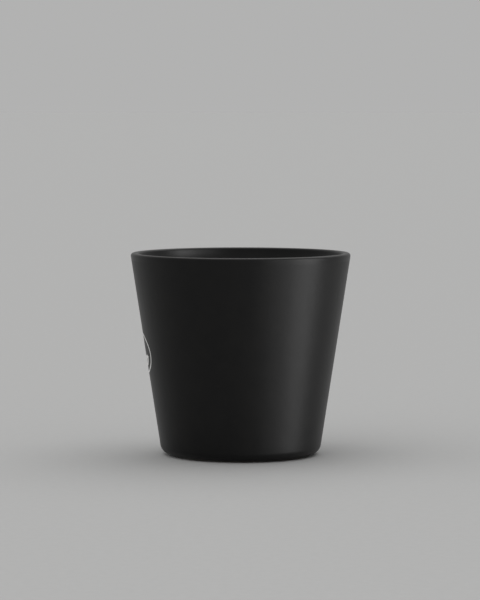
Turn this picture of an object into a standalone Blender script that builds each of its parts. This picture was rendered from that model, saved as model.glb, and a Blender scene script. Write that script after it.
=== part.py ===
"""Handle-less black mug with a double stoneware wall.

Metres, +Z up. The origin is on the table, under the middle of the foot ring.
The printed mark faces -X. Every turned piece is a profile of (radius, height) points.
"""

import math

import bmesh
import bpy

# Outside form
RIM_DIAMETER = 0.0900  # where the straight side would meet the level of the lip
BASE_DIAMETER = 0.0647  # where the straight side would meet the level of the base
HEIGHT = 0.0825
BASE_ROUNDING = 0.0040
LIP_THICKNESS = 0.0033
LIP_ROUNDING = 0.0011

# Stoneware walls and floors, bare of glaze, measured square to the wall
OUTER_WALL = 0.0021
AIR_GAP = 0.0022
INNER_WALL = 0.0020
OUTER_FLOOR = 0.0026
INNER_FLOOR = 0.0024
CAVITY_ROUNDING = 0.0025  # where the air gap's outer wall meets its floor
BOWL_ROUNDING = 0.0080  # where the inside wall meets the inside floor
FLARE_DEPTH = 0.0140  # from the lip to where the wall has its full double width
SPIGOT_DEPTH = 0.0025  # how far the inner cup reaches into the mouth of the outer shell

# Glaze
GLAZE = 0.0004
LIP_BAND = 0.0028  # how far the liner glaze comes down over the outside of the lip

# Foot ring and the recess inside it
FOOT_STAND = 0.0005  # bare clay that shows under the outside glaze
FOOT_WIDTH = 0.0034
FOOT_BEVEL = 0.0003
FOOT_RECESS = 0.0018  # table to the glazed recess

# Vent and its plug
VENT_DIAMETER = 0.0070
PLUG_HEAD_DIAMETER = 0.0124
PLUG_EDGE = 0.0003  # bevel round the head
PLUG_STAND = 0.0005  # table to the head of the plug
BARB_DIAMETER = 0.0086
BARB_HEIGHT = 0.0016
BARB_TIP_DIAMETER = 0.0044
PLUG_HEADROOM = 0.0010  # plug to the underside of the inner cup

# Printed mark
PRINT_HEIGHT = 0.0419  # table to the middle of the mark
PRINT_THICKNESS = 0.0002
OVAL_WIDTH = 0.0276
OVAL_HEIGHT = 0.0172
OVAL_LINE = 0.0007
LEAF_MARGIN = 0.0026  # from the oval's line to the leaves
LEAF_WIDTH = 0.0040
LEAF_VEIN = 0.0005
LEAF_FOOT = 0.0012  # from the point where the leaves would meet to a leaf's lower tip
LEAF_TILT = math.radians(66)  # of the two side leaves, from upright

FIT_GAP = 0.0003  # between pieces that touch on the real mug

# Fineness of the faceted shapes
SIDES = 48
ROUND_STEPS = 4
BOWL_STEPS = 6
FLARE_STEPS = 8
OVAL_STEPS = 48
LEAF_STEPS = 8

# Worked out from the sizes above
SIDE_SLOPE = (RIM_DIAMETER - BASE_DIAMETER) / 2 / (HEIGHT - FOOT_STAND)
SIDE_ANGLE = math.atan(SIDE_SLOPE)
COAT = GLAZE + FIT_GAP
LIP_EDGE = min(LIP_ROUNDING, 0.49 * LIP_THICKNESS)
LIP_LEVEL = HEIGHT - LIP_EDGE
GLAZE_LINE = HEIGHT - LIP_BAND
SEAT = LIP_LEVEL - FLARE_DEPTH / 2
CAVITY_INSET = COAT + OUTER_WALL
SPIGOT_INSET = CAVITY_INSET + FIT_GAP
BOWL_BACK_INSET = CAVITY_INSET + AIR_GAP
DOUBLE_WALL = BOWL_BACK_INSET + INNER_WALL + COAT
RECESS_CEILING = FOOT_RECESS + COAT
CAVITY_FLOOR = RECESS_CEILING + OUTER_FLOOR
PLUG_TOP = CAVITY_FLOOR + FIT_GAP + BARB_HEIGHT
BOWL_UNDERSIDE = PLUG_TOP + PLUG_HEADROOM
BOWL_FLOOR = BOWL_UNDERSIDE + INNER_FLOOR + COAT
VENT_RADIUS = VENT_DIAMETER / 2
LEAF_EDGE = OVAL_LINE + LEAF_MARGIN
LEAF_ROOT = LEAF_EDGE - OVAL_HEIGHT / 2
LEAF_REACH = min(OVAL_HEIGHT - 2 * LEAF_EDGE, (OVAL_WIDTH / 2 - LEAF_EDGE) / math.sin(LEAF_TILT))

MERGE_DISTANCE = 0.00001


def clear_scene():
    for item in list(bpy.data.objects):
        bpy.data.objects.remove(item, do_unlink=True)


def new_collection(name):
    collection = bpy.data.collections.new(name)
    bpy.context.scene.collection.children.link(collection)
    return collection


def finish(name, colour, roughness):
    material = bpy.data.materials.new(name)
    material.use_nodes = True
    shader = material.node_tree.nodes["Principled BSDF"]
    shader.inputs["Base Color"].default_value = (*colour, 1.0)
    shader.inputs["Roughness"].default_value = roughness
    shader.inputs["Metallic"].default_value = 0.0
    material.diffuse_color = (*colour, 1.0)
    return material


# Outlines shared by the pieces, as (radius, height) points


def wall_radius(inset, height):
    """Radius at a height of a surface that lies inset behind the mug's straight side."""
    side = BASE_DIAMETER / 2 + SIDE_SLOPE * (height - FOOT_STAND)
    return side - inset / math.cos(SIDE_ANGLE)


def arc(centre, radius, start, end, steps):
    points = []
    for step in range(steps + 1):
        angle = start + (end - start) * step / steps
        points.append((centre[0] + radius * math.cos(angle), centre[1] + radius * math.sin(angle)))
    return points


def corner_centre(inset, floor, rounding):
    height = floor + rounding
    return (wall_radius(inset + rounding, height), height)


def floor_corner(inset, floor, rounding, steps):
    """The rounding from a level floor up into a side wall."""
    centre = corner_centre(inset, floor, rounding)
    return arc(centre, rounding, -math.pi / 2, -SIDE_ANGLE, steps)


def flare(height):
    """How much of the double wall's extra width is there: 0 at the lip, 1 below the flare."""
    share = (LIP_LEVEL - height) / FLARE_DEPTH
    share = min(max(share, 0.0), 1.0)
    return share * share * (3.0 - 2.0 * share)


def bowl_inset(height):
    return LIP_THICKNESS + (DOUBLE_WALL - LIP_THICKNESS) * flare(height)


def flare_heights():
    """Heights through the flare, from its lower end up to the lip's rounding."""
    return [LIP_LEVEL - FLARE_DEPTH * (1.0 - step / FLARE_STEPS) for step in range(FLARE_STEPS + 1)]


def lip_surface(depth):
    """The lip's rounded edges, from inside to outside, sunk by depth."""
    inner = (wall_radius(LIP_THICKNESS - LIP_EDGE, LIP_LEVEL), LIP_LEVEL)
    outer = (wall_radius(LIP_EDGE, LIP_LEVEL), LIP_LEVEL)
    rounding = LIP_EDGE - depth
    points = arc(inner, rounding, math.pi - SIDE_ANGLE, math.pi / 2, ROUND_STEPS)
    return points + arc(outer, rounding, math.pi / 2, -SIDE_ANGLE, ROUND_STEPS)


def bowl_surface(depth):
    """The inside, from the middle of its floor up to the lip, sunk by depth."""
    floor = BOWL_FLOOR - depth
    points = [(0.0, floor)]
    points += floor_corner(DOUBLE_WALL - depth, floor, BOWL_ROUNDING + depth, BOWL_STEPS)
    for height in flare_heights()[:-1]:
        points.append((wall_radius(bowl_inset(height) - depth, height), height))
    return points


def outside_surface(depth, top):
    """The straight side from a height down round the base edge, sunk by depth."""
    corner = floor_corner(depth, FOOT_STAND + depth, BASE_ROUNDING - depth, ROUND_STEPS)
    return [(wall_radius(depth, top), top)] + corner[::-1]


def foot_radii():
    outer = corner_centre(0.0, FOOT_STAND, BASE_ROUNDING)[0] - FIT_GAP
    return outer, outer - FOOT_WIDTH


# Pieces


def turned(name, profile, material, collection):
    """A solid of revolution about Z; the profile closes on itself, or on the axis."""
    on_axis = profile[0][0] == 0.0
    count = len(profile)
    last = count - 1 if on_axis else count
    mesh = bpy.data.meshes.new(name)
    points = [(radius, 0.0, height) for radius, height in profile]
    mesh.from_pydata(points, [(i, (i + 1) % count) for i in range(last)], [])
    mesh.materials.append(material)
    piece = bpy.data.objects.new(name, mesh)
    collection.objects.link(piece)
    screw = piece.modifiers.new("turn", "SCREW")
    screw.axis = "Z"
    screw.angle = math.tau
    screw.steps = SIDES
    screw.render_steps = SIDES
    screw.use_merge_vertices = True
    screw.merge_threshold = MERGE_DISTANCE
    screw.use_smooth_shade = True
    return piece


def outer_shell(material, collection):
    """Cast outer wall and base, with the bare foot ring and the vent hole."""
    top = SEAT - FIT_GAP
    foot_outer, foot_inner = foot_radii()
    profile = outside_surface(COAT, top)
    profile += [
        (foot_outer, FOOT_STAND + COAT),
        (foot_outer, FOOT_BEVEL),
        (foot_outer - FOOT_BEVEL, 0.0),
        (foot_inner + FOOT_BEVEL, 0.0),
        (foot_inner, FOOT_BEVEL),
        (foot_inner, RECESS_CEILING),
        (VENT_RADIUS, RECESS_CEILING),
        (VENT_RADIUS, CAVITY_FLOOR),
    ]
    profile += floor_corner(CAVITY_INSET, CAVITY_FLOOR, CAVITY_ROUNDING, ROUND_STEPS)
    profile.append((wall_radius(CAVITY_INSET, top), top))
    return turned("outer_shell", profile, material, collection)


def inner_cup(material, collection):
    """Cast bowl; its lip is a flange that sits on the outer shell, centred by a spigot."""
    spigot_end = SEAT - SPIGOT_DEPTH
    profile = bowl_surface(COAT) + lip_surface(COAT)
    profile += [
        (wall_radius(COAT, SEAT), SEAT),
        (wall_radius(SPIGOT_INSET, SEAT), SEAT),
        (wall_radius(SPIGOT_INSET, spigot_end), spigot_end),
    ]
    for height in flare_heights()[::-1]:
        if height < spigot_end - FIT_GAP:
            inset = max(SPIGOT_INSET, bowl_inset(height) - COAT - INNER_WALL)
            profile.append((wall_radius(inset, height), height))
    back = floor_corner(BOWL_BACK_INSET, BOWL_UNDERSIDE, BOWL_ROUNDING + INNER_WALL, BOWL_STEPS)
    profile += back[::-1]
    profile.append((0.0, BOWL_UNDERSIDE))
    return turned("inner_cup", profile, material, collection)


def outer_glaze(material, collection):
    """Satin coat from the glaze line under the lip to the foot ring."""
    top = GLAZE_LINE - FIT_GAP
    profile = outside_surface(0.0, top) + outside_surface(GLAZE, top)[::-1]
    return turned("outer_glaze", profile, material, collection)


def liner_glaze(material, collection):
    """Glossier coat over the inside and the lip."""
    face = bowl_surface(0.0) + lip_surface(0.0) + [(wall_radius(0.0, GLAZE_LINE), GLAZE_LINE)]
    back = bowl_surface(GLAZE) + lip_surface(GLAZE) + [(wall_radius(GLAZE, GLAZE_LINE), GLAZE_LINE)]
    return turned("liner_glaze", face + back[::-1], material, collection)


def base_glaze(material, collection):
    """Coat in the recess inside the foot ring, open round the vent."""
    outer = foot_radii()[1] - FIT_GAP
    inner = VENT_RADIUS + FIT_GAP
    top = FOOT_RECESS + GLAZE
    profile = [(outer, top), (outer, FOOT_RECESS), (inner, FOOT_RECESS), (inner, top)]
    return turned("base_glaze", profile, material, collection)


def vent_plug(material, collection):
    """Soft plug: a head in the recess, a stem in the vent and a barb in the air gap."""
    stem = VENT_RADIUS - FIT_GAP
    head = PLUG_HEAD_DIAMETER / 2
    head_top = FOOT_RECESS - FIT_GAP
    barb_foot = CAVITY_FLOOR + FIT_GAP
    profile = [
        (0.0, PLUG_TOP),
        (BARB_TIP_DIAMETER / 2, PLUG_TOP),
        (BARB_DIAMETER / 2, barb_foot + BARB_HEIGHT / 3),
        (BARB_DIAMETER / 2, barb_foot),
        (stem, barb_foot),
        (stem, head_top),
        (head, head_top),
        (head, PLUG_STAND + PLUG_EDGE),
        (head - PLUG_EDGE, PLUG_STAND),
        (0.0, PLUG_STAND),
    ]
    return turned("vent_plug", profile, material, collection)


# Printed mark: flat outlines in (across, up), wrapped onto the outside glaze


def on_the_side(across, up, out):
    """A point of the flat mark, laid on the side that faces -X."""
    height = PRINT_HEIGHT + up * math.cos(SIDE_ANGLE) - out * math.sin(SIDE_ANGLE)
    surface = wall_radius(0.0, PRINT_HEIGHT + up * math.cos(SIDE_ANGLE))
    radius = surface + out * math.cos(SIDE_ANGLE)
    angle = math.pi + across / surface
    return (radius * math.cos(angle), radius * math.sin(angle), height)


def oval_outline(width, height):
    angles = [math.tau * step / OVAL_STEPS for step in range(OVAL_STEPS)]
    return [(width / 2 * math.cos(angle), height / 2 * math.sin(angle)) for angle in angles]


def leaf_outline(tilt):
    """A pointed leaf with a vein slit that runs up from its lower tip."""
    edge = [step / LEAF_STEPS for step in range(LEAF_STEPS + 1)]
    vein = LEAF_VEIN / 2
    right = [(vein + (LEAF_WIDTH / 2 - vein) * math.sin(math.pi * share), share) for share in edge]
    left = [(-across, share) for across, share in right[::-1]]
    slit_end = 1.0 - 1.0 / LEAF_STEPS
    slit = [(-vein, slit_end), (vein, slit_end)]
    left[0] = (0.0, 1.0)
    points = []
    for across, share in right[:-1] + left + slit:
        reach = LEAF_FOOT + (LEAF_REACH - LEAF_FOOT) * share
        turned_across = across * math.cos(tilt) + reach * math.sin(tilt)
        turned_up = reach * math.cos(tilt) - across * math.sin(tilt)
        points.append((turned_across, LEAF_ROOT + turned_up))
    return points


def flat_mesh(name, outlines):
    """A mesh of the filled outlines, as thick as the print."""
    curve = bpy.data.curves.new(name, "CURVE")
    curve.dimensions = "2D"
    curve.fill_mode = "BOTH"
    curve.extrude = PRINT_THICKNESS / 2
    for outline in outlines:
        spline = curve.splines.new("POLY")
        spline.points.add(len(outline) - 1)
        for point, (across, up) in zip(spline.points, outline):
            point.co = (across, up, 0.0, 1.0)
        spline.use_cyclic_u = True
    flat = bpy.data.objects.new(name + "_flat", curve)
    bpy.context.scene.collection.objects.link(flat)
    depsgraph = bpy.context.evaluated_depsgraph_get()
    mesh = bpy.data.meshes.new_from_object(flat.evaluated_get(depsgraph))
    bpy.data.objects.remove(flat, do_unlink=True)
    return mesh


def printed(name, outlines, material, collection):
    mesh = flat_mesh(name, outlines)
    mesh.name = name
    shape = bmesh.new()
    shape.from_mesh(mesh)
    bmesh.ops.remove_doubles(shape, verts=shape.verts, dist=MERGE_DISTANCE)
    for vertex in shape.verts:
        across, up, out = vertex.co
        vertex.co = on_the_side(across, up, FIT_GAP + PRINT_THICKNESS / 2 + out)
    shape.to_mesh(mesh)
    shape.free()
    mesh.materials.clear()
    mesh.materials.append(material)
    piece = bpy.data.objects.new(name, mesh)
    collection.objects.link(piece)
    return piece


def printed_mark(material, collection):
    line = 2 * OVAL_LINE
    ring = [oval_outline(OVAL_WIDTH, OVAL_HEIGHT), oval_outline(OVAL_WIDTH - line, OVAL_HEIGHT - line)]
    printed("print_oval", ring, material, collection)
    tilts = {"left": -LEAF_TILT, "middle": 0.0, "right": LEAF_TILT}
    for side, tilt in tilts.items():
        printed("print_leaf_" + side, [leaf_outline(tilt)], material, collection)


def main():
    clear_scene()
    mug = new_collection("mug")
    stoneware = finish("stoneware", (0.090, 0.080, 0.070), 0.75)
    satin_black = finish("satin_black_glaze", (0.004, 0.004, 0.004), 0.38)
    liner_black = finish("liner_black_glaze", (0.004, 0.004, 0.004), 0.25)
    silicone = finish("silicone", (0.030, 0.030, 0.032), 0.65)
    white_print = finish("white_print", (0.78, 0.78, 0.76), 0.45)
    outer_shell(stoneware, mug)
    inner_cup(stoneware, mug)
    outer_glaze(satin_black, mug)
    liner_glaze(liner_black, mug)
    base_glaze(satin_black, mug)
    vent_plug(silicone, mug)
    printed_mark(white_print, mug)


main()
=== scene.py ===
"""Looks of the handle-less black mug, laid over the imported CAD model.

Metres, +Z up, in the frame of the CAD model: the origin is under the middle of the foot ring,
the printed mark faces -X and the photo's camera stands towards -Y.
"""

import math

import bpy
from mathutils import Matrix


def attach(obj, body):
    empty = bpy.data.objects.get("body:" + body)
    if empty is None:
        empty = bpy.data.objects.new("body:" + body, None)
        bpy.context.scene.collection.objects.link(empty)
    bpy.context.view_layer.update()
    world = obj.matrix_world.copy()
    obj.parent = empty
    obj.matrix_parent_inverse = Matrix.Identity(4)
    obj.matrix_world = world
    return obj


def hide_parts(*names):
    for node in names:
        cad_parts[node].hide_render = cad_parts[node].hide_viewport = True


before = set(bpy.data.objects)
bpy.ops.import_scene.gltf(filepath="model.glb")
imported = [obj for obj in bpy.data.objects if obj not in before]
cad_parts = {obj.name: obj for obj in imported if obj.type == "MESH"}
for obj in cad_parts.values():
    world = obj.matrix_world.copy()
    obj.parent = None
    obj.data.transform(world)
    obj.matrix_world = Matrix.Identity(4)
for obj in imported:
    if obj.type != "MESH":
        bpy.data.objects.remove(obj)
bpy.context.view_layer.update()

# Outside form, as in the CAD part
RIM_DIAMETER = 0.0900
BASE_DIAMETER = 0.0647
HEIGHT = 0.0825
BASE_ROUNDING = 0.0040
LIP_THICKNESS = 0.0033
LIP_ROUNDING = 0.0011

# Walls, floors and glaze, as in the CAD part
OUTER_WALL = 0.0021
AIR_GAP = 0.0022
INNER_WALL = 0.0020
OUTER_FLOOR = 0.0026
INNER_FLOOR = 0.0024
SHELL_ROUNDING = 0.0025
BOWL_ROUNDING = 0.0080
FLARE_DEPTH = 0.0140  # from the lip to where the wall has its full double width
GLAZE = 0.0004
LIP_BAND = 0.0028  # how far the liner glaze comes down over the outside of the lip
FIT_GAP = 0.0003  # between pieces that touch on the real mug

# Foot ring, vent and plug, as in the CAD part
FOOT_STAND = 0.0005
FOOT_WIDTH = 0.0034
FOOT_RECESS = 0.0018
VENT_RADIUS = 0.0035
PLUG_RADIUS = 0.0062
PLUG_EDGE = 0.0003
PLUG_STAND = 0.0005
PLUG_HEADROOM = 0.0010  # plug to the underside of the inner cup
BARB_RADIUS = 0.0043
BARB_TIP_RADIUS = 0.0022
BARB_HEIGHT = 0.0016

# Printed mark, as in the CAD part
PRINT_HEIGHT = 0.0419
OVAL_WIDTH = 0.0276
OVAL_HEIGHT = 0.0172
OVAL_LINE = 0.0007
LEAF_MARGIN = 0.0026  # from the oval's line to the leaves
LEAF_WIDTH = 0.0040
LEAF_VEIN = 0.0005
LEAF_SLIT = 0.875  # share of the leaf's length that the vein runs up
LEAF_FOOT = 0.0012
LEAF_TILT = math.radians(66)

# Finer forms than the CAD part has
FOOT_EDGE = 0.0004
RECESS_FILLET = 0.0007
PLUG_SEAT = 0.00005  # from the plug's head to the glaze above it
GROOVE_OUTER = 0.0046  # radii of the groove in the plug's head
GROOVE_INNER = 0.0034
GROOVE_DEPTH = 0.0003
GROOVE_SLOPE = 0.0002
BARB_RIM = 0.0005
FILM = 0.00004  # thickness of the ink
FILM_LIFT = 0.00001

# Fineness and hand-made unevenness
SIDES = 192
ROUND_STEPS = 14
WALL_STEPS = 28
FLARE_STEPS = 28
CREASE = math.radians(40)
UNEVENNESS = 0.00006
WAVE = 28.0
SEED = 7
SAME_PLACE = 1e-6  # points nearer than this are one point

# Worked out from the sizes above
SIDE_SLOPE = (RIM_DIAMETER - BASE_DIAMETER) / 2 / (HEIGHT - FOOT_STAND)
SIDE_ANGLE = math.atan(SIDE_SLOPE)
LIP_LEVEL = HEIGHT - LIP_ROUNDING
GLAZE_LINE = HEIGHT - LIP_BAND
CLAY_DEPTH = GLAZE + FIT_GAP  # outside of the glaze to the clay
SHELL_DEPTH = CLAY_DEPTH + OUTER_WALL  # outside of the glaze to the air gap
SHELL_TOP = LIP_LEVEL - FLARE_DEPTH / 2 - FIT_GAP
DOUBLE_WALL = SHELL_DEPTH + AIR_GAP + INNER_WALL + CLAY_DEPTH
RECESS_CLAY = FOOT_RECESS + CLAY_DEPTH
CAVITY_FLOOR = RECESS_CLAY + OUTER_FLOOR
BARB_FOOT = CAVITY_FLOOR + FIT_GAP
PLUG_STEM = VENT_RADIUS - FIT_GAP
PLUG_TOP = BARB_FOOT + BARB_HEIGHT
BOWL_FLOOR = PLUG_TOP + PLUG_HEADROOM + INNER_FLOOR + CLAY_DEPTH
LEAF_EDGE = OVAL_LINE + LEAF_MARGIN
LEAF_ROOT = LEAF_EDGE - OVAL_HEIGHT / 2
LEAF_REACH = OVAL_HEIGHT - 2 * LEAF_EDGE


class Graph:
    """Adds nodes to a tree; an input is a plain value or another node's output."""

    def __init__(self, tree):
        self.tree = tree

    def add(self, kind, inputs=(), **settings):
        node = self.tree.nodes.new(kind)
        for name, value in settings.items():
            setattr(node, name, value)
        for key, value in dict(inputs).items():
            self.feed(node.inputs[key], value)
        return node

    def feed(self, socket, value):
        if isinstance(value, bpy.types.NodeSocket):
            self.tree.links.new(value, socket)
        else:
            socket.default_value = value

    def math(self, operation, *values):
        node = self.add("ShaderNodeMath", operation=operation)
        for socket, value in zip(node.inputs, values):
            self.feed(socket, value)
        return node.outputs[0]

    def vector(self, operation, *values):
        node = self.add("ShaderNodeVectorMath", operation=operation)
        for socket, value in zip(node.inputs, values):
            self.feed(socket, value)
        return node.outputs[0]

    def point(self, x, y, z):
        return self.add("ShaderNodeCombineXYZ", {"X": x, "Y": y, "Z": z}).outputs[0]

    def parts(self, vector):
        return self.add("ShaderNodeSeparateXYZ", {0: vector}).outputs

    def noise(self, place, scale, detail):
        inputs = {"Vector": place, "Scale": scale, "Detail": detail}
        return self.add("ShaderNodeTexNoise", inputs).outputs[0]

    def cells(self, place, scale):
        """Distance from the nearest of many scattered spots."""
        return self.add("ShaderNodeTexVoronoi", {"Vector": place, "Scale": scale}).outputs["Distance"]

    def span(self, value, start, end, low, high):
        """A value from start to end turned into one from low to high, held at both ends."""
        inputs = {"Value": value, "From Min": start, "From Max": end, "To Min": low, "To Max": high}
        return self.add("ShaderNodeMapRange", inputs).outputs[0]

    def ramp(self, value, *stops):
        node = self.add("ShaderNodeValToRGB", {"Fac": value})
        elements = node.color_ramp.elements
        while len(elements) < len(stops):
            elements.new(0.5)
        for element, (position, colour) in zip(elements, stops):
            element.position = position
            element.color = (*colour, 1.0)
        return node.outputs["Color"]

    def blend(self, factor, first, second):
        """A colour between two colours."""
        node = self.add("ShaderNodeMix", data_type="RGBA")
        for key, value in ((0, factor), (6, first), (7, second)):
            self.feed(node.inputs[key], value)
        return node.outputs[2]


def placed(name, data):
    """A new object in the scene."""
    item = bpy.data.objects.new(name, data)
    bpy.context.scene.collection.objects.link(item)
    return item


# Outlines as (radius, height) points


def wall_radius(inset, height):
    """Radius at a height of a surface that lies inset behind the mug's straight side."""
    side = BASE_DIAMETER / 2 + SIDE_SLOPE * (height - FOOT_STAND)
    return side - inset / math.cos(SIDE_ANGLE)


def arc(centre, radius, start, end):
    points = []
    for step in range(ROUND_STEPS + 1):
        angle = start + (end - start) * step / ROUND_STEPS
        points.append((centre[0] + radius * math.cos(angle), centre[1] + radius * math.sin(angle)))
    return points


def line(start, end, steps):
    """Points between two points, without the points themselves."""
    shares = [step / steps for step in range(1, steps)]
    return [tuple(a + (b - a) * share for a, b in zip(start, end)) for share in shares]


def corner_centre(inset, floor, rounding):
    height = floor + rounding
    return (wall_radius(inset + rounding, height), height)


def floor_corner(inset, floor, rounding):
    """The rounding from a level floor up into a side wall."""
    return arc(corner_centre(inset, floor, rounding), rounding, -math.pi / 2, -SIDE_ANGLE)


def bowl_inset(height):
    share = min(max((LIP_LEVEL - height) / FLARE_DEPTH, 0.0), 1.0)
    smooth = share * share * (3.0 - 2.0 * share)
    return LIP_THICKNESS + (DOUBLE_WALL - LIP_THICKNESS) * smooth


def lip_surface(depth):
    """The lip's rounded edges, from inside to outside, sunk by depth."""
    inner = (wall_radius(LIP_THICKNESS - LIP_ROUNDING, LIP_LEVEL), LIP_LEVEL)
    outer = (wall_radius(LIP_ROUNDING, LIP_LEVEL), LIP_LEVEL)
    rounding = LIP_ROUNDING - depth
    points = arc(inner, rounding, math.pi - SIDE_ANGLE, math.pi / 2)
    return points + arc(outer, rounding, math.pi / 2, -SIDE_ANGLE)


def bowl_surface(depth):
    """The inside, from the middle of its floor up to the lip, sunk by depth."""
    floor = BOWL_FLOOR - depth
    corner = floor_corner(DOUBLE_WALL - depth, floor, BOWL_ROUNDING + depth)
    flare_foot = LIP_LEVEL - FLARE_DEPTH
    flare_start = (wall_radius(DOUBLE_WALL - depth, flare_foot), flare_foot)
    points = [(0.0, floor)] + line((0.0, floor), corner[0], WALL_STEPS // 2)
    points += corner + line(corner[-1], flare_start, WALL_STEPS)
    for step in range(FLARE_STEPS):
        height = flare_foot + FLARE_DEPTH * step / FLARE_STEPS
        points.append((wall_radius(bowl_inset(height) - depth, height), height))
    return points


def outside_surface(depth, top):
    """The straight side from a height down round the base edge, sunk by depth."""
    corner = floor_corner(depth, FOOT_STAND + depth, BASE_ROUNDING - depth)[::-1]
    start = (wall_radius(depth, top), top)
    return [start] + line(start, corner[0], WALL_STEPS) + corner


def foot_radii():
    outer = corner_centre(0.0, FOOT_STAND, BASE_ROUNDING)[0] - FIT_GAP
    return outer, outer - FOOT_WIDTH


def ring_closed(points):
    return points + points[:1]


def signed_area(profile):
    pairs = zip(profile, profile[1:] + profile[:1])
    return sum(a[0] * b[1] - b[0] * a[1] for a, b in pairs) / 2


# Geometry Nodes


def tree_with_inputs(name, inputs):
    tree = bpy.data.node_groups.new(name, "GeometryNodeTree")
    for label, kind in inputs:
        tree.interface.new_socket(label, in_out="INPUT", socket_type="NodeSocket" + kind)
    tree.interface.new_socket("Piece", in_out="OUTPUT", socket_type="NodeSocketGeometry")
    graph = Graph(tree)
    return tree, graph, graph.add("NodeGroupInput").outputs


def end_tree(graph, geometry, material):
    realized = graph.add("GeometryNodeRealizeInstances", {"Geometry": geometry}).outputs[0]
    finished = graph.add("GeometryNodeSetMaterial", {"Geometry": realized, "Material": material})
    graph.add("NodeGroupOutput", {"Piece": finished.outputs[0]})


def lattice(graph, rows, columns):
    """A sheet of points with each point's row and column, counted from 0."""
    grid = graph.add("GeometryNodeMeshGrid", {"Vertices X": rows, "Vertices Y": columns})
    index = graph.add("GeometryNodeInputIndex").outputs[0]
    row = graph.math("FLOOR", graph.math("DIVIDE", index, columns))
    column = graph.math("SUBTRACT", index, graph.math("MULTIPLY", row, columns))
    stored = graph.add(
        "GeometryNodeStoreNamedAttribute",
        {"Geometry": grid.outputs["Mesh"], "Name": "UVMap", "Value": grid.outputs["UV Map"]},
        data_type="FLOAT2",
        domain="CORNER",
    )
    return stored.outputs[0], row, column


def moved(graph, geometry, **sockets):
    inputs = {"Geometry": geometry, **sockets}
    return graph.add("GeometryNodeSetPosition", inputs).outputs[0]


def merged(graph, geometry):
    inputs = {"Geometry": geometry, "Distance": SAME_PLACE}
    return graph.add("GeometryNodeMergeByDistance", inputs).outputs[0]


def smooth_shaded(graph, geometry, crease):
    """Smooth faces, with edges sharp where the surface turns by more than crease."""
    smooth = graph.add("GeometryNodeSetShadeSmooth", {0: geometry, "Shade Smooth": True}, domain="FACE")
    angle = graph.add("GeometryNodeInputMeshEdgeAngle").outputs["Unsigned Angle"]
    sharp = graph.add("FunctionNodeCompare", {0: angle, 1: crease}, operation="GREATER_THAN").outputs[0]
    creased = graph.add(
        "GeometryNodeSetShadeSmooth",
        {0: smooth.outputs[0], "Selection": sharp, "Shade Smooth": False},
        domain="EDGE",
    )
    return creased.outputs[0]


def turned_tree():
    """A profile of (radius, 0, height) points turned about Z, a little out of true as fired clay is."""
    inputs = [("Profile", "Geometry"), ("Sides", "Int"), ("Unevenness", "Float"), ("Wave", "Float")]
    inputs += [("Seed", "Int"), ("Crease", "Float"), ("Finish", "Material")]
    tree, graph, given = tree_with_inputs("turned", inputs)
    size = graph.add("GeometryNodeAttributeDomainSize", {"Geometry": given["Profile"]})
    columns = graph.math("ADD", given["Sides"], 1.0)
    sheet, row, column = lattice(graph, size.outputs["Point Count"], columns)
    place = graph.add("GeometryNodeInputPosition").outputs[0]
    sampled = graph.add("GeometryNodeSampleIndex", data_type="FLOAT_VECTOR")
    for key, value in (("Geometry", given["Profile"]), ("Value", place), ("Index", row)):
        graph.feed(sampled.inputs[key], value)
    outline = graph.parts(sampled.outputs[0])
    share = graph.math("DIVIDE", column, given["Sides"])
    angle = graph.math("MULTIPLY", share, math.tau)
    x = graph.math("MULTIPLY", outline["X"], graph.math("COSINE", angle))
    y = graph.math("MULTIPLY", outline["X"], graph.math("SINE", angle))
    spun = merged(graph, moved(graph, sheet, Position=graph.point(x, y, outline["Z"])))
    outward = graph.vector("NORMALIZE", graph.vector("MULTIPLY", place, (1.0, 1.0, 0.0)))
    wander = graph.add(
        "ShaderNodeTexNoise",
        {"Vector": place, "W": given["Seed"], "Scale": given["Wave"], "Detail": 1.0},
        noise_dimensions="4D",
    ).outputs[0]
    amount = graph.math("MULTIPLY", graph.math("SUBTRACT", wander, 0.5), given["Unevenness"])
    offset = graph.add("ShaderNodeVectorMath", {0: outward, "Scale": amount}, operation="SCALE").outputs[0]
    uneven = moved(graph, spun, Offset=offset)
    end_tree(graph, smooth_shaded(graph, uneven, given["Crease"]), given["Finish"])
    return tree


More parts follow.
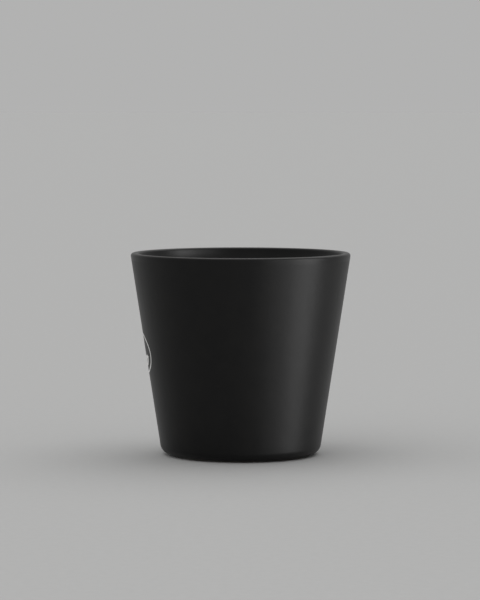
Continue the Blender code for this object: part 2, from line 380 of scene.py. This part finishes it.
def leaf_sheet(graph, given):
    """One flat leaf that points up, with a vein slit that runs up from its lower tip."""
    rows, columns = 6, 33
    half, inner = (rows - 1) / 2, 0.5
    sheet, row, column = lattice(graph, rows, columns)
    share = graph.math("DIVIDE", column, columns - 1.0)
    across = graph.math("SUBTRACT", row, half)
    side = graph.math("SIGN", across)
    beyond = graph.math("SUBTRACT", graph.math("ABSOLUTE", across), inner)
    reach = graph.math("DIVIDE", beyond, half - inner)
    taper = graph.math("SUBTRACT", 1.0, graph.math("MULTIPLY", share, share))
    vein = graph.math("MULTIPLY", graph.math("DIVIDE", given["Leaf Vein"], 2.0), taper)
    belly = graph.math("SINE", graph.math("MULTIPLY", share, math.pi))
    width = graph.math("SUBTRACT", graph.math("DIVIDE", given["Leaf Width"], 2.0), vein)
    blade = graph.math("MULTIPLY", graph.math("MULTIPLY", reach, belly), width)
    x = graph.math("MULTIPLY", side, graph.math("ADD", vein, blade))
    length = graph.math("SUBTRACT", given["Leaf Reach"], given["Leaf Foot"])
    y = graph.math("ADD", given["Leaf Foot"], graph.math("MULTIPLY", share, length))
    shaped = moved(graph, sheet, Position=graph.point(x, y, 0.0))
    place = graph.parts(graph.add("GeometryNodeInputPosition").outputs[0])
    in_middle = graph.math("LESS_THAN", graph.math("ABSOLUTE", place["X"]), SAME_PLACE)
    slit_top = graph.math("MULTIPLY_ADD", length, given["Leaf Slit"], given["Leaf Foot"])
    slit = graph.math("MULTIPLY", in_middle, graph.math("LESS_THAN", place["Y"], slit_top))
    cut = graph.add("GeometryNodeDeleteGeometry", {"Geometry": shaped, "Selection": slit}, domain="FACE")
    return merged(graph, cut.outputs[0])


def leaves(graph, given):
    """Three leaves from one root, fanned by the tilt."""
    count = 3
    root = graph.point(0.0, given["Leaf Root"], 0.0)
    on_one_spot = {"Count": count, "Start Location": root, "Offset": (0.0, 0.0, 0.0)}
    spots = graph.add("GeometryNodeMeshLine", on_one_spot).outputs[0]
    turn = graph.math("SUBTRACT", (count - 1) / 2, graph.add("GeometryNodeInputIndex").outputs[0])
    rotation = graph.point(0.0, 0.0, graph.math("MULTIPLY", turn, given["Leaf Tilt"]))
    inputs = {"Points": spots, "Instance": leaf_sheet(graph, given), "Rotation": rotation}
    fanned = graph.add("GeometryNodeInstanceOnPoints", inputs).outputs[0]
    return graph.add("GeometryNodeRealizeInstances", {"Geometry": fanned}).outputs[0]


def oval_sheet(graph, given):
    """The flat oval line around the leaves."""
    rows, steps = 3, 160
    sheet, row, column = lattice(graph, rows, steps + 1)
    inset = graph.math("MULTIPLY", row, graph.math("DIVIDE", given["Oval Line"], rows - 1.0))
    angle = graph.math("MULTIPLY", column, math.tau / steps)
    width = graph.math("SUBTRACT", graph.math("DIVIDE", given["Oval Width"], 2.0), inset)
    height = graph.math("SUBTRACT", graph.math("DIVIDE", given["Oval Height"], 2.0), inset)
    x = graph.math("MULTIPLY", width, graph.math("COSINE", angle))
    y = graph.math("MULTIPLY", height, graph.math("SINE", angle))
    shaped = merged(graph, moved(graph, sheet, Position=graph.point(x, y, 0.0)))
    return graph.add("GeometryNodeFlipFaces", {"Mesh": shaped}).outputs[0]


def film(graph, sheet, thickness):
    """A flat sheet made into a closed film."""
    up = graph.add("GeometryNodeInputNormal").outputs[0]
    inputs = {"Mesh": sheet, "Offset": up, "Offset Scale": thickness, "Individual": False}
    raised = graph.add("GeometryNodeExtrudeMesh", inputs, mode="FACES").outputs["Mesh"]
    under = graph.add("GeometryNodeFlipFaces", {"Mesh": sheet}).outputs[0]
    both = graph.add("GeometryNodeJoinGeometry")
    for part in (raised, under):
        graph.feed(both.inputs[0], part)
    return merged(graph, both.outputs[0])


def printed_tree():
    """An oval line with three leaves in it, laid as a thin film on the mug's tapered side."""
    names = ["Oval Width", "Oval Height", "Oval Line", "Leaf Width", "Leaf Vein", "Leaf Slit", "Leaf Foot"]
    names += ["Leaf Root", "Leaf Reach", "Leaf Tilt", "Film", "Film Lift", "Height", "Radius", "Taper"]
    inputs = [("Start", "Geometry")] + [(name, "Float") for name in names] + [("Finish", "Material")]
    tree, graph, given = tree_with_inputs("printed", inputs)
    flat = graph.add("GeometryNodeJoinGeometry")
    for part in (oval_sheet(graph, given), leaves(graph, given)):
        graph.feed(flat.inputs[0], part)
    sheet = film(graph, flat.outputs[0], given["Film"])
    place = graph.parts(graph.add("GeometryNodeInputPosition").outputs[0])
    lean_cos = graph.math("COSINE", given["Taper"])
    lean_sin = graph.math("SINE", given["Taper"])
    out = graph.math("ADD", place["Z"], given["Film Lift"])
    rise = graph.math("MULTIPLY", place["Y"], lean_cos)
    surface = graph.math("MULTIPLY_ADD", rise, graph.math("TANGENT", given["Taper"]), given["Radius"])
    radius = graph.math("MULTIPLY_ADD", out, lean_cos, surface)
    angle = graph.math("ADD", graph.math("DIVIDE", place["X"], surface), math.pi)
    x = graph.math("MULTIPLY", radius, graph.math("COSINE", angle))
    y = graph.math("MULTIPLY", radius, graph.math("SINE", angle))
    sunk = graph.math("MULTIPLY", out, lean_sin)
    z = graph.math("SUBTRACT", graph.math("ADD", given["Height"], rise), sunk)
    end_tree(graph, moved(graph, sheet, Position=graph.point(x, y, z)), given["Finish"])
    return tree


def made(name, tree, start, values):
    """Runs a tree once and keeps the result as a plain mesh."""
    piece = placed(name, start)
    modifier = piece.modifiers.new("shape", "NODES")
    modifier.node_group = tree
    for item in tree.interface.items_tree:
        if item.in_out == "INPUT" and item.name in values:
            modifier[item.identifier] = values[item.name]
    depsgraph = bpy.context.evaluated_depsgraph_get()
    mesh = bpy.data.meshes.new_from_object(piece.evaluated_get(depsgraph))
    piece.modifiers.remove(modifier)
    piece.data = mesh
    mesh.name = name
    return piece


def settled(piece, slot, *nodes):
    """Puts a finished piece on the body, in place of its CAD nodes."""
    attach(piece, "root")
    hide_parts(*nodes)


# Pieces


def profile_mesh(name, profile):
    mesh = bpy.data.meshes.new(name + "_profile")
    mesh.from_pydata([(radius, 0.0, height) for radius, height in profile], [], [])
    return mesh


def turned(name, profile, tree, material):
    """A piece turned from a closed profile, faces outward."""
    if signed_area(profile) > 0.0:
        profile = profile[::-1]
    outline = profile_mesh(name, profile)
    values = {"Sides": SIDES, "Unevenness": UNEVENNESS, "Wave": WAVE, "Seed": SEED}
    values["Crease"] = CREASE
    values["Finish"] = material
    return made(name, tree, outline, values)


def side_coat_profile():
    """The outside coat, with a rolled edge where it ends against the foot ring."""
    bead_share = 0.95
    foot = foot_radii()[0]
    face = outside_surface(0.0, GLAZE_LINE)
    end = face[-1][0]
    bead = (end - foot) * bead_share
    rolled = arc((end, FOOT_STAND + bead), bead, -math.pi / 2, -math.pi)
    back = outside_surface(GLAZE, GLAZE_LINE)
    return ring_closed(face + rolled[1:] + [(end - bead, FOOT_STAND + GLAZE)] + back[::-1])


def bowl_coat_profile():
    """The coat of the inside and the lip, down to where the outside coat begins."""
    face = bowl_surface(0.0) + lip_surface(0.0) + [(wall_radius(0.0, GLAZE_LINE), GLAZE_LINE)]
    back = bowl_surface(GLAZE) + lip_surface(GLAZE) + [(wall_radius(GLAZE, GLAZE_LINE), GLAZE_LINE)]
    return face + back[::-1]


def recess_coat_profile():
    """The coat under the base, which climbs a little on the foot ring."""
    outer = foot_radii()[1]
    top = FOOT_RECESS + GLAZE
    climb = arc((outer - RECESS_FILLET, FOOT_RECESS - RECESS_FILLET), RECESS_FILLET, 0.0, math.pi / 2)
    return ring_closed([(outer, top)] + climb + [(VENT_RADIUS, FOOT_RECESS), (VENT_RADIUS, top)])


def shell_profile():
    """The clay outer wall and base with the bare foot ring."""
    outer, inner = foot_radii()
    edge = FOOT_EDGE
    profile = outside_surface(CLAY_DEPTH, SHELL_TOP)
    profile.append((outer, FOOT_STAND + CLAY_DEPTH))
    profile += arc((outer - edge, edge), edge, 0.0, -math.pi / 2)
    profile += arc((inner + edge, edge), edge, -math.pi / 2, -math.pi)
    profile += [(inner, RECESS_CLAY), (VENT_RADIUS, RECESS_CLAY), (VENT_RADIUS, CAVITY_FLOOR)]
    profile += floor_corner(SHELL_DEPTH, CAVITY_FLOOR, SHELL_ROUNDING)
    profile.append((wall_radius(SHELL_DEPTH, SHELL_TOP), SHELL_TOP))
    return ring_closed(profile)


def plug_profile():
    """The soft plug: a barb above, a stem, and a head with a groove moulded round it."""
    edge = PLUG_EDGE
    head_top = FOOT_RECESS - PLUG_SEAT
    groove_floor = PLUG_STAND + GROOVE_DEPTH
    profile = [(0.0, PLUG_TOP), (BARB_TIP_RADIUS, PLUG_TOP), (BARB_RADIUS, BARB_FOOT + BARB_RIM)]
    profile += [(BARB_RADIUS, BARB_FOOT), (PLUG_STEM, BARB_FOOT), (PLUG_STEM, head_top)]
    profile.append((PLUG_RADIUS, head_top))
    profile += arc((PLUG_RADIUS - edge, PLUG_STAND + edge), edge, 0.0, -math.pi / 2)
    profile += [(GROOVE_OUTER, PLUG_STAND), (GROOVE_OUTER - GROOVE_SLOPE, groove_floor)]
    profile += [(GROOVE_INNER + GROOVE_SLOPE, groove_floor), (GROOVE_INNER, PLUG_STAND)]
    profile.append((0.0, PLUG_STAND))
    return profile


def printed_mark(tree, material):
    """The oval and its leaves as one film."""
    start = bpy.data.meshes.new("print_start")
    values = {"Oval Width": OVAL_WIDTH, "Oval Height": OVAL_HEIGHT, "Oval Line": OVAL_LINE}
    values.update({"Leaf Width": LEAF_WIDTH, "Leaf Vein": LEAF_VEIN, "Leaf Slit": LEAF_SLIT})
    values.update({"Leaf Foot": LEAF_FOOT, "Leaf Root": LEAF_ROOT, "Leaf Reach": LEAF_REACH})
    values["Leaf Tilt"] = LEAF_TILT
    values.update({"Film": FILM, "Film Lift": FILM_LIFT, "Height": PRINT_HEIGHT})
    values.update({"Radius": wall_radius(0.0, PRINT_HEIGHT), "Taper": SIDE_ANGLE, "Finish": material})
    return made("printed_mark", tree, start, values)


# Materials


def new_material(name):
    """A material with its graph, its shader and the place on the piece that patterns follow."""
    material = bpy.data.materials.new(name)
    material.use_nodes = True
    graph = Graph(material.node_tree)
    place = graph.add("ShaderNodeTexCoord").outputs["Object"]
    return material, graph, material.node_tree.nodes["Principled BSDF"], place


def bumped(graph, shader, *layers):
    """Stacks bumps given as (height, depth in metres)."""
    normal = None
    for height, depth in layers:
        inputs = {"Height": height, "Distance": depth, "Strength": 1.0}
        if normal:
            inputs["Normal"] = normal
        normal = graph.add("ShaderNodeBump", inputs).outputs[0]
    graph.feed(shader.inputs["Normal"], normal)


def black_glaze(name, roughness, peel):
    """Black glaze: faint mottling and wipe streaks, a fine peel, pinholes, thin over the lip's edges."""
    deep_black, soft_black = (0.0027, 0.0027, 0.0028), (0.0038, 0.0037, 0.0036)
    hole_tint, thin_tint = (0.010, 0.009, 0.008, 1.0), (0.012, 0.010, 0.009, 1.0)
    upright_stretch = (1.0, 1.0, 0.12)
    thin_edge, hole_depth = 0.0005, 0.00002
    patchiness, fine_share = 0.05, 0.15
    material, graph, shader, place = new_material(name)
    mottle = graph.noise(place, scale=140.0, detail=4.0)
    streak = graph.noise(graph.vector("MULTIPLY", place, upright_stretch), scale=420.0, detail=3.0)
    body = graph.ramp(mottle, (0.35, deep_black), (0.65, soft_black))
    pinhole = graph.span(graph.cells(place, scale=190.0), 0.02, 0.06, 1.0, 0.0)
    pitted = graph.blend(pinhole, body, hole_tint)
    thin = graph.span(graph.parts(place)["Z"], HEIGHT - thin_edge, HEIGHT, 0.0, 0.5)
    graph.feed(shader.inputs["Base Color"], graph.blend(thin, pitted, thin_tint))
    patches = graph.math("ADD", mottle, streak)
    uneven = graph.math("MULTIPLY_ADD", patches, patchiness, roughness - patchiness)
    graph.feed(shader.inputs["Roughness"], uneven)
    shader.inputs["Specular IOR Level"].default_value = 0.22
    ripple = graph.noise(place, scale=260.0, detail=2.0)
    fine = graph.noise(place, scale=900.0, detail=3.0)
    bumped(graph, shader, (ripple, peel), (fine, peel * fine_share), (pinhole, -hole_depth))
    return material


def stoneware():
    """Fired dark clay: grain, pale grog specks and turning rings, rubbed smoother where it stands."""
    dark_clay, light_clay = (0.075, 0.066, 0.057), (0.105, 0.094, 0.083)
    grog_tint, grain_tint = (0.24, 0.21, 0.18, 1.0), (0.045, 0.040, 0.035, 1.0)
    rubbed_height = 0.0003
    ring_rate = 9000.0  # radians per metre of radius
    ring_depth, grain_depth = 0.00001, 0.00006
    material, graph, shader, place = new_material("fired_clay")
    grain = graph.noise(place, scale=1500.0, detail=4.0)
    cloud = graph.noise(place, scale=90.0, detail=3.0)
    tone = graph.ramp(cloud, (0.3, dark_clay), (0.7, light_clay))
    speck = graph.span(graph.cells(place, scale=620.0), 0.08, 0.18, 0.5, 0.0)
    coloured = graph.blend(speck, tone, grog_tint)
    shade = graph.span(grain, 0.3, 0.7, 0.0, 0.35)
    graph.feed(shader.inputs["Base Color"], graph.blend(shade, coloured, grain_tint))
    worn = graph.span(graph.parts(place)["Z"], 0.0, rubbed_height, -0.15, 0.0)
    rough = graph.span(grain, 0.3, 0.7, 0.72, 0.88)
    graph.feed(shader.inputs["Roughness"], graph.math("ADD", rough, worn))
    level = graph.vector("MULTIPLY", place, (1.0, 1.0, 0.0))
    radius = graph.add("ShaderNodeVectorMath", {0: level}, operation="LENGTH").outputs["Value"]
    rings = graph.math("SINE", graph.math("MULTIPLY", radius, ring_rate))
    bumped(graph, shader, (rings, ring_depth), (grain, grain_depth))
    return material


def soft_plug():
    """Dark silicone with a fine moulded grain and some dust."""
    clean_tint, dusty_tint = (0.028, 0.028, 0.030), (0.060, 0.058, 0.055)
    grain_depth = 0.00002
    material, graph, shader, place = new_material("dark_silicone")
    grain = graph.noise(place, scale=2600.0, detail=2.0)
    dust = graph.noise(place, scale=420.0, detail=4.0)
    graph.feed(shader.inputs["Base Color"], graph.ramp(dust, (0.45, clean_tint), (0.75, dusty_tint)))
    graph.feed(shader.inputs["Roughness"], graph.span(dust, 0.3, 0.7, 0.52, 0.70))
    bumped(graph, shader, (grain, grain_depth))
    return material


def white_print():
    """Off-white ink: uneven cover, small pinholes and a slightly rough film."""
    thin_white, full_white = (0.74, 0.74, 0.72), (0.82, 0.82, 0.80)
    hole_tint = (0.18, 0.18, 0.18, 1.0)
    cover_depth = 0.00001
    material, graph, shader, place = new_material("white_ink")
    cover = graph.noise(place, scale=700.0, detail=3.0)
    pits = graph.noise(place, scale=3800.0, detail=1.0)
    tone = graph.ramp(cover, (0.3, thin_white), (0.7, full_white))
    pinhole = graph.span(pits, 0.70, 0.78, 0.0, 0.7)
    graph.feed(shader.inputs["Base Color"], graph.blend(pinhole, tone, hole_tint))
    graph.feed(shader.inputs["Roughness"], graph.span(cover, 0.3, 0.7, 0.42, 0.56))
    bumped(graph, shader, (cover, cover_depth))
    return material


def pale_paper():
    """Matt pale paper, seen from above only, so that a view from below shows the foot."""
    dull_tone, bright_tone = (0.456, 0.456, 0.453), (0.472, 0.472, 0.469)
    material, graph, shader, place = new_material("pale_paper")
    fibre = graph.noise(place, scale=320.0, detail=4.0)
    graph.feed(shader.inputs["Base Color"], graph.ramp(fibre, (0.3, dull_tone), (0.7, bright_tone)))
    graph.feed(shader.inputs["Roughness"], graph.span(fibre, 0.3, 0.7, 0.85, 0.95))
    shader.inputs["Specular IOR Level"].default_value = 0.1
    behind = graph.add("ShaderNodeNewGeometry").outputs["Backfacing"]
    clear = graph.add("ShaderNodeBsdfTransparent").outputs[0]
    mixed = graph.add("ShaderNodeMixShader", {0: behind, 1: shader.outputs[0], 2: clear})
    output = material.node_tree.nodes["Material Output"]
    graph.feed(output.inputs["Surface"], mixed.outputs[0])
    return material


# Mug


def dress_mug(turning):
    """Makes and settles every piece, and gives back the glazed ones."""
    satin = black_glaze("satin_glaze", roughness=0.40, peel=0.00004)
    liner = black_glaze("liner_glaze", roughness=0.36, peel=0.00003)
    clay = stoneware()
    side = turned("glazed_side", side_coat_profile(), turning, satin)
    settled(side, "satin_black_glaze", "outer_glaze")
    bowl = turned("glazed_bowl", bowl_coat_profile(), turning, liner)
    settled(bowl, "liner_black_glaze", "liner_glaze")
    recess = turned("glazed_recess", recess_coat_profile(), turning, satin)
    settled(recess, "satin_black_glaze", "base_glaze")
    shell = turned("clay_shell", shell_profile(), turning, clay)
    settled(shell, "stoneware", "outer_shell")
    plug = turned("soft_vent_plug", plug_profile(), turning, soft_plug())
    settled(plug, "silicone", "vent_plug")
    mark = printed_mark(printed_tree(), white_print())
    settled(mark, "white_print", "print_oval", "print_leaf_left", "print_leaf_middle", "print_leaf_right")
    hidden_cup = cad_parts["inner_cup"]
    hidden_cup.data.materials.clear()
    hidden_cup.data.materials.append(clay)
    return [side, bowl, recess]


# Studio


def studio():
    """A wide pale floor; it ends far out, where the sky has the floor's tone."""
    reach = 60.0
    mesh = bpy.data.meshes.new("floor")
    corners = [(-reach, -reach, 0.0), (reach, -reach, 0.0), (reach, reach, 0.0), (-reach, reach, 0.0)]
    mesh.from_pydata(corners, [], [(0, 1, 2, 3)])
    mesh.materials.append(pale_paper())
    sheet = placed("floor", mesh)


def strip(name, azimuth, width, power):
    """An upright strip light that faces the mug from an azimuth, in degrees from +X."""
    distance, middle, length = 0.80, 0.160, 0.88
    turn = math.radians(azimuth)
    lamp = bpy.data.lights.new(name, "AREA")
    lamp.shape = "RECTANGLE"
    lamp.size = width
    lamp.size_y = length
    lamp.energy = power
    item = placed(name, lamp)
    item.location = (distance * math.cos(turn), distance * math.sin(turn), middle)
    item.rotation_euler = (math.pi / 2, 0.0, turn + math.pi / 2)
    item.visible_camera = False
    return item


def strips(pieces):
    """The upright highlight on the right. The strips light the glaze alone, and the floor doesn't
    hide their lower ends, so the highlight runs straight down to the base."""
    lamps = [
        strip("strip_main", azimuth=-17, width=0.41, power=4.91),
        strip("strip_front", azimuth=-46, width=0.38, power=1.46),
    ]
    glaze = bpy.data.collections.new("glazed_pieces")
    for piece in pieces:
        glaze.objects.link(piece)
    for lamp in lamps:
        lamp.light_linking.receiver_collection = glaze
        lamp.light_linking.blocker_collection = glaze


def sky():
    """Even light from all round, in the tone that the floor has under it."""
    tone = (0.445, 0.445, 0.443, 1.0)
    world = bpy.data.worlds.new("studio")
    bpy.context.scene.world = world
    world.use_nodes = True
    back = world.node_tree.nodes["Background"]
    back.inputs["Color"].default_value = tone
    back.inputs["Strength"].default_value = 1.0


def soft_sun(name, power, spread, turn):
    """A far, wide lamp that shines down until it is turned; spread and turn are in degrees."""
    lamp = bpy.data.lights.new(name, "SUN")
    lamp.energy = power
    lamp.angle = math.radians(spread)
    item = placed(name, lamp)
    item.rotation_euler = [math.radians(angle) for angle in turn]
    return item


def suns():
    """Light from above, and a fill on the printed side that leaves no reflection in the glaze."""
    soft_sun("overhead", power=1.15, spread=70, turn=(-18, 12, 0))
    fill = soft_sun("left_fill", power=1.0, spread=100, turn=(0, -60, 24))
    fill.visible_glossy = False


def camera():
    """The photo's camera, fitted to the rim, the sides and the base edge."""
    focal_pixels, long_side_pixels = 2816.4, 600.0
    looks_down = 0.0689
    data = bpy.data.cameras.new("camera")
    data.sensor_fit = "AUTO"
    data.sensor_width = 36.0
    data.lens = focal_pixels * data.sensor_width / long_side_pixels
    data.clip_end = 200.0
    item = placed("camera", data)
    item.location = (-0.00027, -1.1478, 0.14235)
    item.rotation_euler = (math.pi / 2 - looks_down, 0.0, 0.0)
    bpy.context.scene.camera = item


glazed = dress_mug(turned_tree())
studio()
sky()
suns()
strips(glazed)
camera()
bpy.context.scene.view_settings.view_transform = "Standard"
